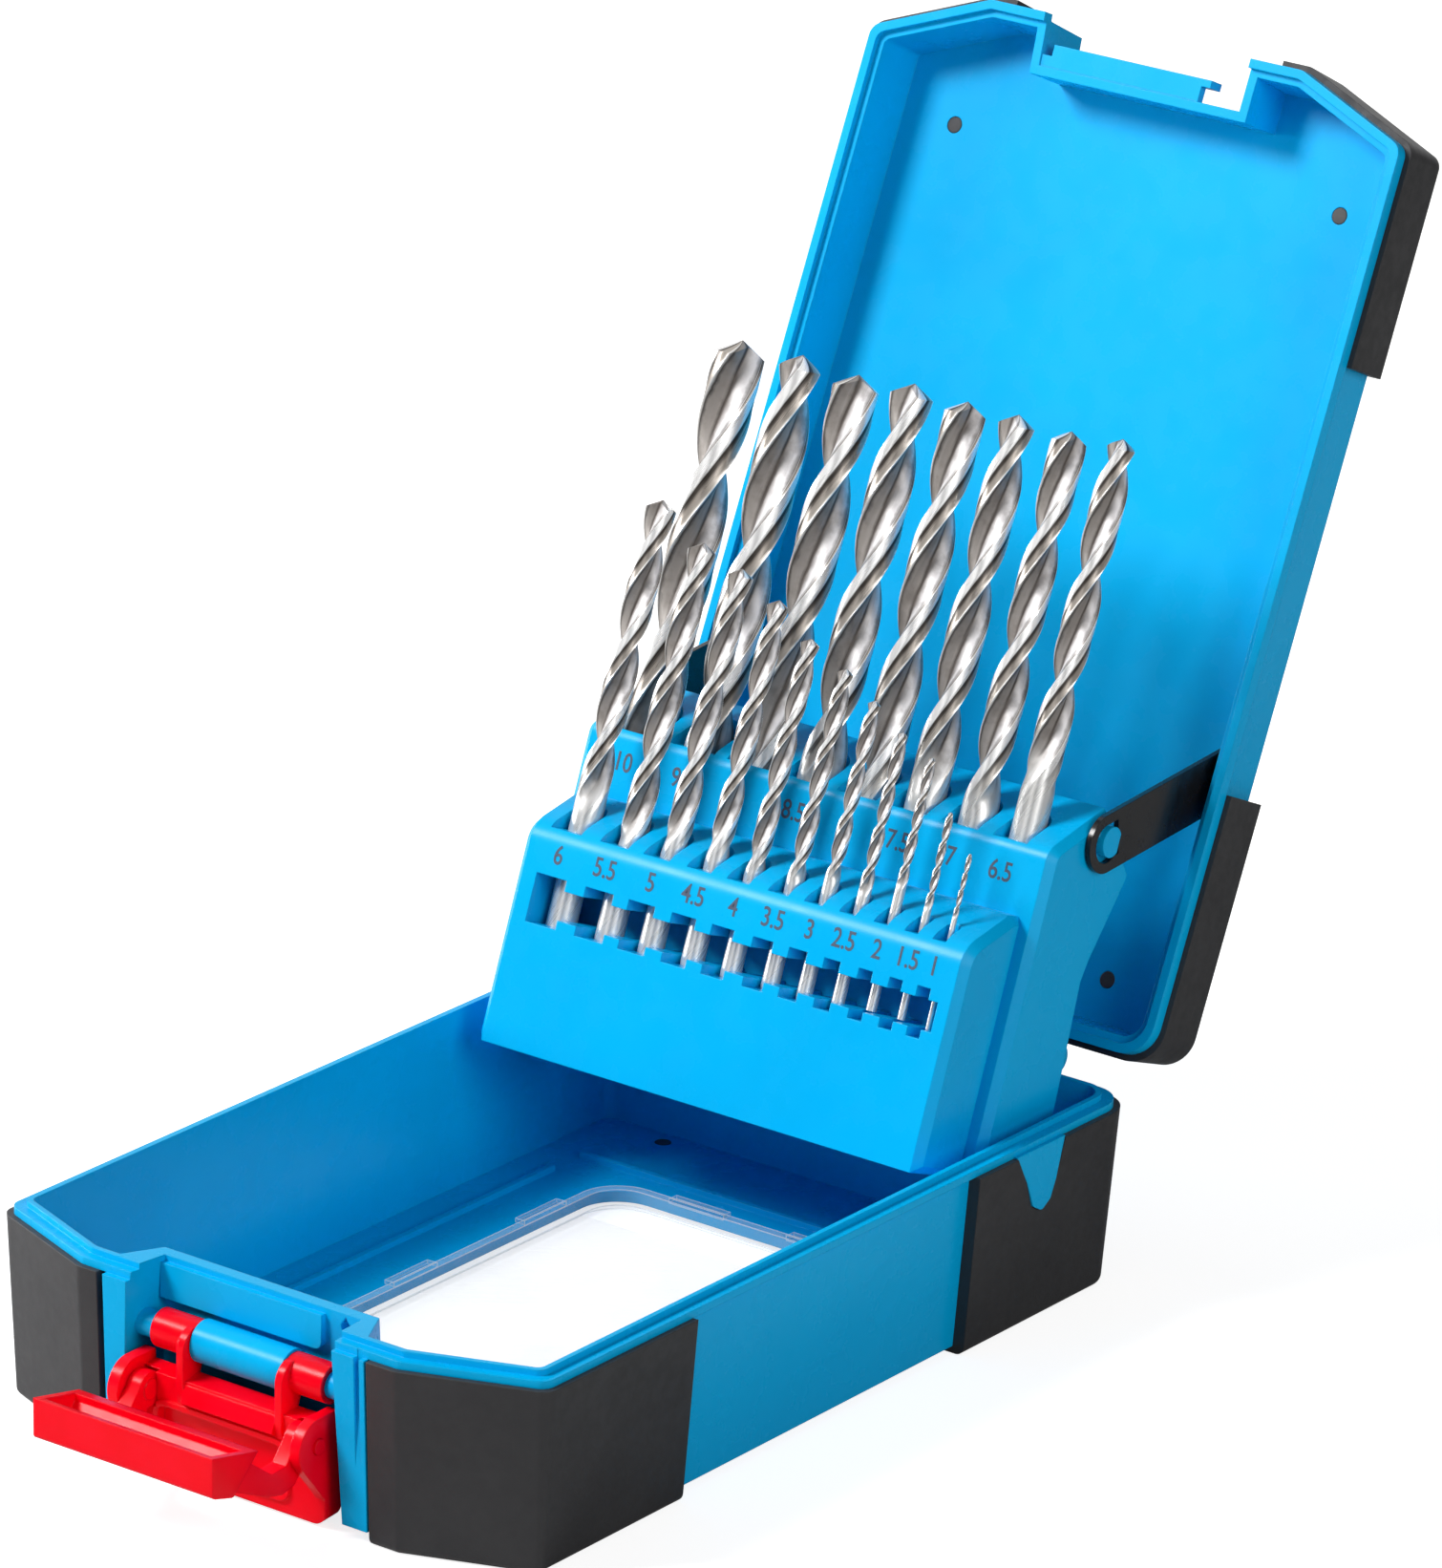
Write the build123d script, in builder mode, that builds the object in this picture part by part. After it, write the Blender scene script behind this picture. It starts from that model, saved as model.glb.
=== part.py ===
from build123d import *
from math import atan, cos, degrees, radians, sin
import os

os.makedirs("parts", exist_ok=True)

# Case plan, over the corner guards
half_width = 63.0
half_length = 96.0
chamfer_x = 26.5
chamfer_y = 10.4
rear_radius = 7.5
front_radius = 3.5
rear_shrink = 0.7
front_shrink = 0.4
least_radius = 1.0
draft = 2.2
guard_depth = 2.5
guard_gap = 0.1
edge_roll = 1.9
wall = 1.9
# Tray heights
floor_low = 1.4
floor_high = 3.6
flange_low = 36.3
flange_high = 37.8
lip_high = 39.0
flange_inset = 1.2
lip_inset = 3.3
inner_inset = guard_depth + wall
# Lid heights in the closed position
rim = 39.3
skirt_low = 38.1
skirt_inset = 3.0
lid_flange_high = 40.8
lid_top = 52.9
lid_inner = 51.0
lid_guard_top = 54.9
lid_draft = 0.9
rib_x = 47.5
rib_mid_y = -4.0
rib_length = 128.0
rib_rear_y = 69.0
rib_width = 1.3
rib_height = 1.2
# Front recess
recess_wall_y = -86.5
recess_draft = 3.0
tray_recess = ((-25.5, -100.0), (-23.8, recess_wall_y), (21.5, recess_wall_y), (22.3, -100.0))
recess_inner_y = -83.9
recess_inner = ((-34.4, -100.0), (-26.0, recess_inner_y), (23.4, recess_inner_y), (31.1, -100.0))
post_spans = ((-30.6, -24.0), (22.0, 29.5))
post_low = 2.5
post_high = 37.0
post_depth = 6.0
post_groove_x = 27.8
post_groove_width = 1.2
post_groove_depth = 1.3
plate_left = -24.0
plate_right = 13.2
plate_low = 31.0
plate_front = -87.6
plate_root = 0.6
plate_fillet = 1.6
eyelet_x = 17.8
eyelet_z = 36.4
eyelet_radius = 1.1
eyelet_point = 0.8
eyelet_reach = 1.5
lid_recess_y = -84.5
lid_recess = ((-24.0, -100.0), (-22.4, lid_recess_y), (24.4, lid_recess_y), (24.4, -100.0))
keeper_low = 39.6
keeper = (
    (-23.6, 14.5, -86.8, -83.9, 41.4),
    (-20.3, 14.5, -89.1, -86.8, 41.4),
    (-20.3, 16.5, -89.1, -87.6, 43.4),
)
# Hinge
hinge_y = 99.15
hinge_z = 38.9
lid_open = 113.6
knuckle_radius = 2.9
knuckle_length = 12.0
knuckle_gap = 0.3
knuckle_root = 93.8
lid_knuckle_root = 94.2
knuckle_top = 97.55
knuckle_skirt = 96.4
knuckle_start = -3.5 * knuckle_length - 3 * knuckle_gap
pin_gap = 0.02
hinge_pin_radius = 1.5
running_gap = 0.05
# Rack pivot and lifting links
rack_tilt = 19.9
pivot_y = 63.6
pivot_z = 30.0
pivot_radius = 2.6
pivot_tip = 59.2
boss_radius = 5.0
boss_face = 57.5
shoulder_radius = 3.8
shoulder_face = 57.2
link_inner = 55.2
link_outer = 56.3
link_slope = 3.8
link_half = 5.8
link_hole_y = 92.1
link_hole_z = 87.9
link_hole_radius = 3.8
link_tail_x = 38.54
link_tail_y = 2.83
link_slot_y = 1.8
link_slot_z = 0.3
link_slot_width = 7.0
link_profile = (
    (0, link_half),
    (40.4, link_half),
    (42.6, 3.2),
    (42.0, -0.5),
    (40.4, -3.4),
    (38.0, -link_half),
    (0, -link_half),
)
trunnion_radius = 2.4
trunnion_tip = 59.4
lid_boss_y = 36.8
lid_boss_z = 45.7
lid_boss_radius = 4.2
lid_boss_face = 57.6
boss_height = 1.6
end_gap = 0.2
peg_radius = 3.0
peg_tip = 57.0
# Racks, across v and along u
front_half = 52.0
rear_half = 54.9
rack_split = 16.0
split_gap = 0.5
foot_v = 24.17
foot_u = 2.58
peg_v = 31.62
peg_u = 67.18
peg_flat = 2.4
stub_root = 6.0
foot_radius = 5.6
slot_lip_front = 43.0
slot_lip_rear = 63.6
front_row = (
    (6.0, -43.4, 6.9, 15.6, 93.0),
    (5.5, -31.9, 6.8, 9.7, 93.0),
    (5.0, -21.8, 6.6, 13.9, 86.0),
    (4.5, -11.8, 6.4, 16.0, 80.0),
    (4.0, -2.6, 6.2, 15.6, 75.0),
    (3.5, 6.8, 6.0, 16.9, 70.0),
    (3.0, 15.0, 5.6, 21.6, 61.0),
    (2.5, 22.9, 5.3, 21.3, 57.0),
    (2.0, 30.6, 5.1, 26.2, 49.0),
    (1.5, 37.6, 4.9, 26.3, 40.0),
    (1.0, 44.0, 4.7, 25.9, 34.0),
)
rear_v = 22.2
rear_row = (
    (10.0, -44.5, rear_v, 8.5, 133.0),
    (9.5, -30.2, rear_v, 16.6, 125.0),
    (9.0, -16.7, rear_v, 15.6, 125.0),
    (8.5, -3.9, rear_v, 24.6, 117.0),
    (8.0, 8.7, rear_v, 23.8, 117.0),
    (7.5, 20.5, rear_v, 31.8, 109.0),
    (7.0, 32.7, rear_v, 31.2, 109.0),
    (6.5, 44.2, rear_v, 40.2, 101.0),
)
guide_gap = 0.08
seat_gap = 0.02
slot_clearance = 0.6
slot_least = 1.5
rack_chamfer = 1.6
front_round = 6.0
rear_round = 4.0
foot_round = 3.0
front_top = 50.2
front_profile = ((0, 0), (0, slot_lip_front), (12.8, front_top), (rack_split, front_top), (rack_split, 0))
rear_top = 73.0
rear_profile = (
    (rack_split, 0),
    (rack_split, slot_lip_rear),
    (32.0, rear_top),
    (44.5, 62.0),
    (44.5, 60.0),
    (38.4, 44.0),
    (37.4, 40.0),
    (39.0, 16.0),
    (39.0, 0),
)
window_x = 0.5
window_width = 94.4
window_low = 26.2
window_high = 31.9
notch_low = 24.4
notch_high = 34.0
notch_depth = 14.4
core_floor = 33.0
core_low = 5.0
core_high = 37.0
core_width = 18.6
core_pitch = 21.2
core_count = 5
# Latch
bar_y = -90.5
bar_z = 27.0
bar_radius = 4.1
bar_left = -11.3
bar_right = 9.4
journal_radius = 2.6
journal_left = -26.5
journal_right = 23.3
hook_radius = 3.7
hooks = ((-20.8, -13.1, -13.1, -11.5), (11.2, 18.6, 9.6, 11.2))
cheek_y = -1.8
cheek_z = -0.5
cheek_radius = 3.8
lever_lean = 4.7
lever_back = -1.1
lever_front = -5.5
lever_low = -25.9
lever_high = -6.0
pocket_left = -17.9
pocket_right = 11.0
pocket_low = -22.4
pocket_high = -12.2
pocket_depth = 1.6
pivot_back = -6.8
pivot_drop = -9.1
ear_radius = 5.4
catch_pin_radius = 1.5
catch_pin_head = 2.0
arm_end_radius = 3.4
ear_left = (-24.2, -21.8)
ear_right = (18.0, 20.2)
arm_left = (-21.5, -18.5)
arm_right = (14.7, 17.7)
ledge = ((-5.5, -11.0), (-7.0, -9.8), (-5.6, -6.6), (-1.6, -5.6), (-1.1, -11.0))
cheek_leg = (
    (-5.6, -0.5),
    (-6.2, -9.0),
    (-5.5, -12.0),
    (-1.1, -12.0),
    (-1.1, -6.0),
    (0.0, -3.2),
    (0.0, 0.0),
)
snap_y = 3.6
snap_z = -2.1
snap_length = 4.6
snap_width = 3.9
snap_turn = -30
pocket_border = 0.5
pocket_corner = 1.8
pocket_rim = 1.2
lever_corner = 3.0
ledge_left = -11.5
ledge_right = 9.6
ear = (
    (lever_back, pivot_drop + ear_radius - 0.4),
    (pivot_back, pivot_drop + ear_radius),
    (pivot_back - 0.8 * ear_radius, pivot_drop - 0.6 * ear_radius),
    (lever_front, lever_low + 5.5),
    (lever_back, lever_low + 5.5),
)
arm_gap = 0.3
arm_room = 0.5
pin_proud = 0.5
head_proud = 0.25
catch_left = -22.0
catch_right = 19.2
catch_wall = 1.4
trough_fillet = 1.0
trough = ((-125.0, 24.2), (-124.8, 16.4), (-119.0, 14.8), (-112.3, 21.6))
arm = (
    (-99.4, 19.0),
    (-102.6, 14.9),
    (-106.5, 14.6),
    (-114.5, 20.2),
    (-119.0, 15.6),
    (-107.5, 10.6),
    (-103.5, 9.6),
    (-100.0, 10.4),
    (-97.0, 14.1),
)
# Window
pane_half = 34.5
pane_front = -59.8
pane_rear = 61.6
pane_radius = 9.0
pane_gap = 0.15
pane_thick = 1.6
pane_rim = 2.0
pane_flange = 2.4
pane_high = 4.9
tab_root = 0.5
tab_length = 13.0
tab_thick = 0.9
tab_pitch_x = 14.0
tab_pitch_y = 40.0


lid_plane = Plane(
    Location((0, hinge_y, hinge_z), (-lid_open, 0, 0)) * Location((0, -hinge_y, -hinge_z))
)
tilt_cos = cos(radians(rack_tilt))
tilt_sin = sin(radians(rack_tilt))
rack_plane = Plane(
    origin=(
        0,
        pivot_y - foot_v * tilt_cos - foot_u * tilt_sin,
        pivot_z + foot_v * tilt_sin - foot_u * tilt_cos,
    ),
    x_dir=(1, 0, 0),
    z_dir=(0, tilt_sin, tilt_cos),
)

rack_face = Plane(rack_plane.origin, rack_plane.x_dir, -rack_plane.y_dir)
lever_plane = Plane(Location((0, bar_y, bar_z), (lever_lean, 0, 0)))
catch_y = lever_plane.from_local_coords((0, pivot_back, pivot_drop)).Y
catch_z = lever_plane.from_local_coords((0, pivot_back, pivot_drop)).Z


def side(frame, x):
    # A plane across the part: first axis backwards, second axis upwards
    return Plane(origin=frame.from_local_coords((x, 0, 0)), x_dir=frame.y_dir, z_dir=frame.x_dir)


def footprint(inset):
    with BuildSketch(Plane.XY, mode=Mode.PRIVATE) as outline:
        with BuildLine():
            Polyline(
                (-half_width, half_length),
                (half_width, half_length),
                (half_width, -half_length + chamfer_y),
                (half_width - chamfer_x, -half_length),
                (-half_width + chamfer_x, -half_length),
                (-half_width, -half_length + chamfer_y),
                close=True,
            )
        make_face()
        if inset > 0:
            offset(amount=-inset, kind=Kind.INTERSECTION)
        rear = outline.vertices().group_by(Axis.Y)[-1]
        fillet(rear, max(rear_radius - rear_shrink * inset, least_radius))
        front = outline.vertices().filter_by(lambda corner: corner.Y < 0)
        fillet(front, max(front_radius - front_shrink * inset, least_radius))
    return outline.sketch


def drafted(frame, wide, wide_inset, narrow, narrow_inset, roll=0):
    # The wall's outline drawn in from its wide end to its narrow one, whose edge may be rolled
    slope = degrees(atan((narrow_inset - wide_inset) / abs(narrow - wide)))
    toward = 1 if narrow > wide else -1
    with BuildPart() as body:
        with BuildSketch(frame.offset(wide)):
            add(footprint(wide_inset))
        extrude(amount=narrow - wide, taper=slope)
        if roll > 0:
            ends = body.faces().sort_by(Axis(frame.origin, frame.z_dir * toward))
            fillet(ends[-1].edges(), roll)
        split(bisect_by=Plane.YZ, keep=Keep.BOTTOM)
        mirror(about=Plane.YZ)
    return body.part


def face_of(points):
    with BuildSketch(Plane.XY, mode=Mode.PRIVATE) as outline:
        with BuildLine():
            Polyline(*points, close=True)
        make_face()
    return outline.sketch


def prism(frame, face, start, amount, taper):
    with BuildPart() as body:
        with BuildSketch(frame.offset(start)):
            add(face)
        extrude(amount=amount, taper=taper)
    return body.part


def grown(points, amount):
    with BuildSketch(Plane.XY, mode=Mode.PRIVATE) as outline:
        add(face_of(points))
        offset(amount=amount, kind=Kind.INTERSECTION)
    return outline.sketch


def pivot_tab(amount):
    with BuildSketch(Plane.XY, mode=Mode.PRIVATE) as outline:
        with BuildLine():
            Polyline(*tab_points, close=True)
        make_face()
        fillet(outline.vertices().filter_by(lambda corner: corner.Y < flange_low), tab_fillet)
        if amount > 0:
            offset(amount=amount, kind=Kind.INTERSECTION)
    return outline.sketch


def cavity(frame, wide, wide_inset, narrow, narrow_inset, recess):
    with BuildPart() as space:
        add(drafted(frame, wide, wide_inset, narrow, narrow_inset))
        add(recess, mode=Mode.SUBTRACT)
    return space.part


def strip(blank, low_x, high_x, low, high):
    # A piece of the blank's front between two planes across
    with BuildPart() as piece:
        add(blank)
        with Locations(((low_x + high_x) / 2, -half_length, (low + high) / 2)):
            Box(high_x - low_x, 2 * post_depth, high - low, mode=Mode.INTERSECT)
    return piece.part


def finish(builder, label, colour):
    builder.part.label = label
    builder.part.color = Color(*colour)
    export_step(builder.part, "parts/" + label + ".step")


blue = (0.0, 0.56, 0.86)
dark = (0.06, 0.06, 0.06)
red = (0.86, 0.03, 0.1)
clear = (0.9, 0.95, 0.97)
steel = (0.7, 0.7, 0.72)

pane_mid_y = (pane_front + pane_rear) / 2
pane_length = pane_rear - pane_front
tab_face = half_width - 0.3
tab_depth = 4.0
tab_fillet = 1.2
tab_points = (
    (57.4, 36.6),
    (61.1, 30.5),
    (63.4, 25.0),
    (66.3, 23.4),
    (69.0, 25.0),
    (70.6, 28.5),
    (73.0, 36.6),
)
floor_peg_y = 85.5
floor_peg_x = 40.0
front_peg_x = 47.0
front_peg_y = -66.0
peg_hole_radius = 1.7
peg_pin_radius = 1.6

# Blanks that the tray, the lid and their guards share
tray_wall = drafted(Plane.XY, flange_low, guard_depth, floor_low, guard_depth + draft)
tray_blank = drafted(Plane.XY, flange_low, 0, 0, draft, edge_roll)
lid_wall = drafted(lid_plane, rim, guard_depth, lid_top, guard_depth + lid_draft)
lid_blank = drafted(lid_plane, lid_flange_high, 0, lid_guard_top, lid_draft, edge_roll)

# Tray
with BuildPart() as base_tray:
    add(tray_wall)
    # Posts either side of the recess, out to the corner guards' face
    for low_x, high_x in post_spans:
        add(strip(tray_blank, low_x, high_x, post_low, post_high))
    with BuildSketch(Plane.XY.offset(flange_low)):
        add(footprint(flange_inset))
    extrude(amount=flange_high - flange_low)
    with BuildSketch(Plane.XY.offset(flange_high)):
        add(footprint(lip_inset))
    extrude(amount=lip_high - flange_high)
    # Pads the rack pivots sit in, out to the corner guards' face
    for sign in (1, -1):
        with BuildSketch(side(Plane.XY, sign * tab_face)):
            add(pivot_tab(0))
        extrude(amount=-sign * tab_depth)
    inner_recess = prism(Plane.XY, face_of(recess_inner), lip_high, -lip_high, -recess_draft)
    add(
        cavity(Plane.XY, lip_high, inner_inset, floor_high, inner_inset + draft, inner_recess),
        mode=Mode.SUBTRACT,
    )
    add(prism(Plane.XY, face_of(tray_recess), lip_high, -lip_high - 1, -recess_draft), mode=Mode.SUBTRACT)
    # Thick plate under the recess's edge, and the eyelet beside it
    with BuildSketch(Plane.XZ.offset(-recess_wall_y - plate_root)) as plate:
        with Locations(((plate_left + plate_right) / 2, (plate_low + flange_high) / 2)):
            Rectangle(plate_right - plate_left, flange_high - plate_low)
        fillet(plate.vertices().sort_by(Axis.X)[-2:].sort_by(Axis.Y)[0], plate_fillet)
    extrude(amount=recess_wall_y + plate_root - plate_front)
    with BuildSketch(Plane.XZ.offset(-plate_front)):
        with Locations((eyelet_x, eyelet_z)):
            Circle(eyelet_radius)
        with Locations((eyelet_x, eyelet_z + eyelet_point * eyelet_radius)):
            RegularPolygon(eyelet_radius, side_count=3, rotation=90)
    extrude(amount=plate_front - recess_inner_y - eyelet_reach, mode=Mode.SUBTRACT)
    with Locations((post_groove_x, -half_length, (post_low + post_high) / 2)):
        Box(post_groove_width, 2 * post_groove_depth, post_high, mode=Mode.SUBTRACT)
    # Latch bar, thick between the journals the lever's hooks turn on
    with BuildSketch(side(Plane.XY, journal_left)):
        with Locations((bar_y, bar_z)):
            Circle(journal_radius)
    extrude(amount=journal_right - journal_left)
    with BuildSketch(side(Plane.XY, bar_left)):
        with Locations((bar_y, bar_z)):
            Circle(bar_radius)
    extrude(amount=bar_right - bar_left)
    # Window opening, floor ribs and fixing holes
    with BuildSketch(Plane.XY):
        with Locations((0, pane_mid_y)):
            RectangleRounded(2 * (pane_half + pane_gap), pane_length + 2 * pane_gap, pane_radius)
        with Locations((-floor_peg_x, floor_peg_y), (floor_peg_x, floor_peg_y)):
            Circle(peg_hole_radius)
        with Locations((-front_peg_x, front_peg_y), (front_peg_x, front_peg_y)):
            Circle(peg_hole_radius)
    extrude(amount=2 * floor_high, mode=Mode.SUBTRACT)
    with BuildSketch(Plane.XY.offset(floor_high)):
        with Locations((-rib_x, rib_mid_y), (rib_x, rib_mid_y)):
            Rectangle(rib_width, rib_length)
        with Locations((0, rib_rear_y)):
            Rectangle(2 * rib_x, rib_width)
    extrude(amount=rib_height)
    # Pivot bosses with blind bores
    for sign in (1, -1):
        with BuildSketch(side(Plane.XY, sign * boss_face)):
            with Locations((pivot_y, pivot_z)):
                Circle(boss_radius)
        extrude(amount=sign * boss_height)
        with BuildSketch(side(Plane.XY, sign * boss_face)):
            with Locations((pivot_y, pivot_z)):
                Circle(pivot_radius + running_gap)
        extrude(amount=sign * (pivot_tip + end_gap - boss_face), mode=Mode.SUBTRACT)
    # Hinge knuckles
    for n in (0, 2, 4, 6):
        x = knuckle_start + n * (knuckle_length + knuckle_gap)
        with BuildSketch(side(Plane.XY, x)):
            with BuildLine():
                Polyline(
                    (knuckle_root, flange_low),
                    (knuckle_skirt, flange_low),
                    (hinge_y, hinge_z - knuckle_radius),
                    (hinge_y, hinge_z),
                    (knuckle_top, flange_high),
                    (knuckle_root, flange_high),
                    close=True,
                )
            make_face()
            with Locations((hinge_y, hinge_z)):
                Circle(knuckle_radius)
                Circle(hinge_pin_radius + pin_gap, mode=Mode.SUBTRACT)
        extrude(amount=knuckle_length)
finish(base_tray, "base_tray", blue)

# Clear window with its snap flange
with BuildPart() as window_panel:
    with BuildSketch(Plane.XY):
        with Locations((0, pane_mid_y)):
            RectangleRounded(2 * pane_half, pane_length, pane_radius)
    extrude(amount=pane_thick)
    with BuildSketch(Plane.XY.offset(pane_thick)):
        with Locations((0, pane_mid_y)):
            RectangleRounded(2 * pane_half, pane_length, pane_radius)
            RectangleRounded(
                2 * (pane_half - pane_rim),
                pane_length - 2 * pane_rim,
                pane_radius - pane_rim,
                mode=Mode.SUBTRACT,
            )
    extrude(amount=pane_high - pane_thick)
    # Snap tabs that catch on the floor round the opening
    tab_wide = pane_flange + tab_root
    tab_x = pane_half - tab_root + tab_wide / 2
    tab_y = pane_length / 2 - tab_root + tab_wide / 2
    with BuildSketch(Plane.XY.offset(floor_high)):
        for y in (-tab_pitch_y, 0, tab_pitch_y):
            with Locations((-tab_x, pane_mid_y + y), (tab_x, pane_mid_y + y)):
                Rectangle(tab_wide, tab_length)
        for x in (-tab_pitch_x, tab_pitch_x):
            with Locations((x, pane_mid_y - tab_y), (x, pane_mid_y + tab_y)):
                Rectangle(tab_length, tab_wide)
    extrude(amount=tab_thick)
finish(window_panel, "window_panel", clear)


plate_margin = 24.0
guard_side_front = -42.1
guard_side_rear = 45.1
guard_left_x = -32.0
guard_right_x = 30.0
guard_rear_x = 34.0
lid_guard_side_front = -42.0
lid_guard_side_rear = 42.2
beyond_x = half_width + 5.0
beyond_y = half_length + 5.0
peg_collar = 2.4

tray_guards = (
    ("tray_guard_front_left", -beyond_x, guard_left_x, -beyond_y, guard_side_front),
    ("tray_guard_front_right", guard_right_x, beyond_x, -beyond_y, guard_side_front),
    ("tray_guard_rear_left", -beyond_x, -guard_rear_x, guard_side_rear, beyond_y),
    ("tray_guard_rear_right", guard_rear_x, beyond_x, guard_side_rear, beyond_y),
)
lid_guards = (
    ("lid_guard_front_left", -beyond_x, guard_left_x, -beyond_y, lid_guard_side_front),
    ("lid_guard_front_right", guard_right_x, beyond_x, -beyond_y, lid_guard_side_front),
    ("lid_guard_rear_left", -beyond_x, -guard_rear_x, lid_guard_side_rear, beyond_y),
    ("lid_guard_rear_right", guard_rear_x, beyond_x, lid_guard_side_rear, beyond_y),
)

for label, low_x, high_x, low_y, high_y in tray_guards:
    peg_x = floor_peg_x if low_y > 0 else front_peg_x
    peg_y = floor_peg_y if low_y > 0 else front_peg_y
    peg_x = peg_x if low_x > 0 else -peg_x
    with BuildPart() as guard:
        add(tray_blank)
        with BuildSketch(Plane.XY):
            with Locations(((low_x + high_x) / 2, (low_y + high_y) / 2)):
                Rectangle(high_x - low_x, high_y - low_y)
        extrude(amount=flange_low, mode=Mode.INTERSECT)
        add(tray_wall, mode=Mode.SUBTRACT)
        with BuildSketch(Plane.XY):
            add(footprint(plate_margin))
        extrude(amount=floor_low, mode=Mode.SUBTRACT)
        with BuildSketch(Plane.XY):
            with Locations((peg_x, peg_y)):
                Circle(peg_pin_radius + peg_collar)
        extrude(amount=floor_low)
        with BuildSketch(Plane.XY):
            with Locations((peg_x, peg_y)):
                Circle(peg_pin_radius)
        extrude(amount=floor_high)
        if low_y > 0:
            for sign in (1, -1):
                with BuildSketch(side(Plane.XY, sign * beyond_x)):
                    add(pivot_tab(guard_gap))
                extrude(amount=sign * (tab_face - tab_depth - beyond_x), mode=Mode.SUBTRACT)
    finish(guard, label, dark)

# Lid, modelled closed and swung open about the hinge
lid_peg_x = 45.2
lid_peg_front_y = -70.3
lid_peg_rear_y = 82.4
lid_peg_rear_x = 41.2

with BuildPart() as lid_shell:
    add(lid_wall)
    with BuildSketch(lid_plane.offset(skirt_low)):
        add(footprint(flange_inset))
    extrude(amount=lid_flange_high - skirt_low)
    with BuildSketch(lid_plane.offset(skirt_low)):
        add(footprint(skirt_inset))
    extrude(amount=rim - skirt_low, mode=Mode.SUBTRACT)
    lid_recess_wall = prism(lid_plane, grown(lid_recess, wall), rim, lid_top - rim, 0)
    add(
        cavity(lid_plane, rim, inner_inset, lid_inner, inner_inset + lid_draft, lid_recess_wall),
        mode=Mode.SUBTRACT,
    )
    add(
        prism(lid_plane, face_of(lid_recess), skirt_low, lid_top - skirt_low, 0),
        mode=Mode.SUBTRACT,
    )
    # Keeper the catch hooks over: its root, its tab, and the lip along the free edge
    for low_x, high_x, low_y, high_y, high in keeper:
        with BuildSketch(lid_plane.offset(keeper_low)):
            with Locations(((low_x + high_x) / 2, (low_y + high_y) / 2)):
                Rectangle(high_x - low_x, high_y - low_y)
        extrude(amount=high - keeper_low)
    # Bosses for the lifting links
    for sign in (1, -1):
        with BuildSketch(side(lid_plane, sign * lid_boss_face)):
            with Locations((lid_boss_y, lid_boss_z)):
                Circle(lid_boss_radius)
        extrude(amount=sign * boss_height)
        with BuildSketch(side(lid_plane, sign * lid_boss_face)):
            with Locations((lid_boss_y, lid_boss_z)):
                Circle(trunnion_radius + running_gap)
        extrude(amount=sign * (trunnion_tip + end_gap - lid_boss_face), mode=Mode.SUBTRACT)
    for x, y in ((lid_peg_x, lid_peg_front_y), (lid_peg_rear_x, lid_peg_rear_y)):
        with BuildSketch(lid_plane.offset(lid_inner)):
            with Locations((x, y), (-x, y)):
                Circle(peg_hole_radius)
        extrude(amount=lid_top - lid_inner, mode=Mode.SUBTRACT)
    for n in (1, 3, 5):
        x = knuckle_start + n * (knuckle_length + knuckle_gap)
        with BuildSketch(side(lid_plane, x)):
            with BuildLine():
                Polyline(
                    (lid_knuckle_root, lid_flange_high),
                    (hinge_y, hinge_z + knuckle_radius),
                    (hinge_y, hinge_z),
                    (knuckle_top, rim),
                    (lid_knuckle_root, rim),
                    close=True,
                )
            make_face()
            with Locations((hinge_y, hinge_z)):
                Circle(knuckle_radius)
                Circle(hinge_pin_radius + running_gap, mode=Mode.SUBTRACT)
        extrude(amount=knuckle_length)
finish(lid_shell, "lid_shell", blue)

for label, low_x, high_x, low_y, high_y in lid_guards:
    peg_x = lid_peg_rear_x if low_y > 0 else lid_peg_x
    peg_y = lid_peg_rear_y if low_y > 0 else lid_peg_front_y
    peg_x = peg_x if low_x > 0 else -peg_x
    with BuildPart() as guard:
        add(lid_blank)
        with BuildSketch(lid_plane.offset(lid_flange_high)):
            with Locations(((low_x + high_x) / 2, (low_y + high_y) / 2)):
                Rectangle(high_x - low_x, high_y - low_y)
        extrude(amount=lid_guard_top - lid_flange_high, mode=Mode.INTERSECT)
        add(lid_wall, mode=Mode.SUBTRACT)
        with BuildSketch(lid_plane.offset(lid_top)):
            add(footprint(plate_margin))
        extrude(amount=lid_guard_top - lid_top, mode=Mode.SUBTRACT)
        with BuildSketch(lid_plane.offset(lid_top)):
            with Locations((peg_x, peg_y)):
                Circle(peg_pin_radius + peg_collar)
        extrude(amount=lid_guard_top - lid_top)
        with BuildSketch(lid_plane.offset(lid_top)):
            with Locations((peg_x, peg_y)):
                Circle(peg_pin_radius)
        extrude(amount=lid_inner - lid_top)
    finish(guard, label, dark)

with BuildPart() as hinge_pin:
    with BuildSketch(side(Plane.XY, knuckle_start)):
        with Locations((hinge_y, hinge_z)):
            Circle(hinge_pin_radius)
    extrude(amount=-2 * knuckle_start)
finish(hinge_pin, "hinge_pin", steel)


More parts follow.
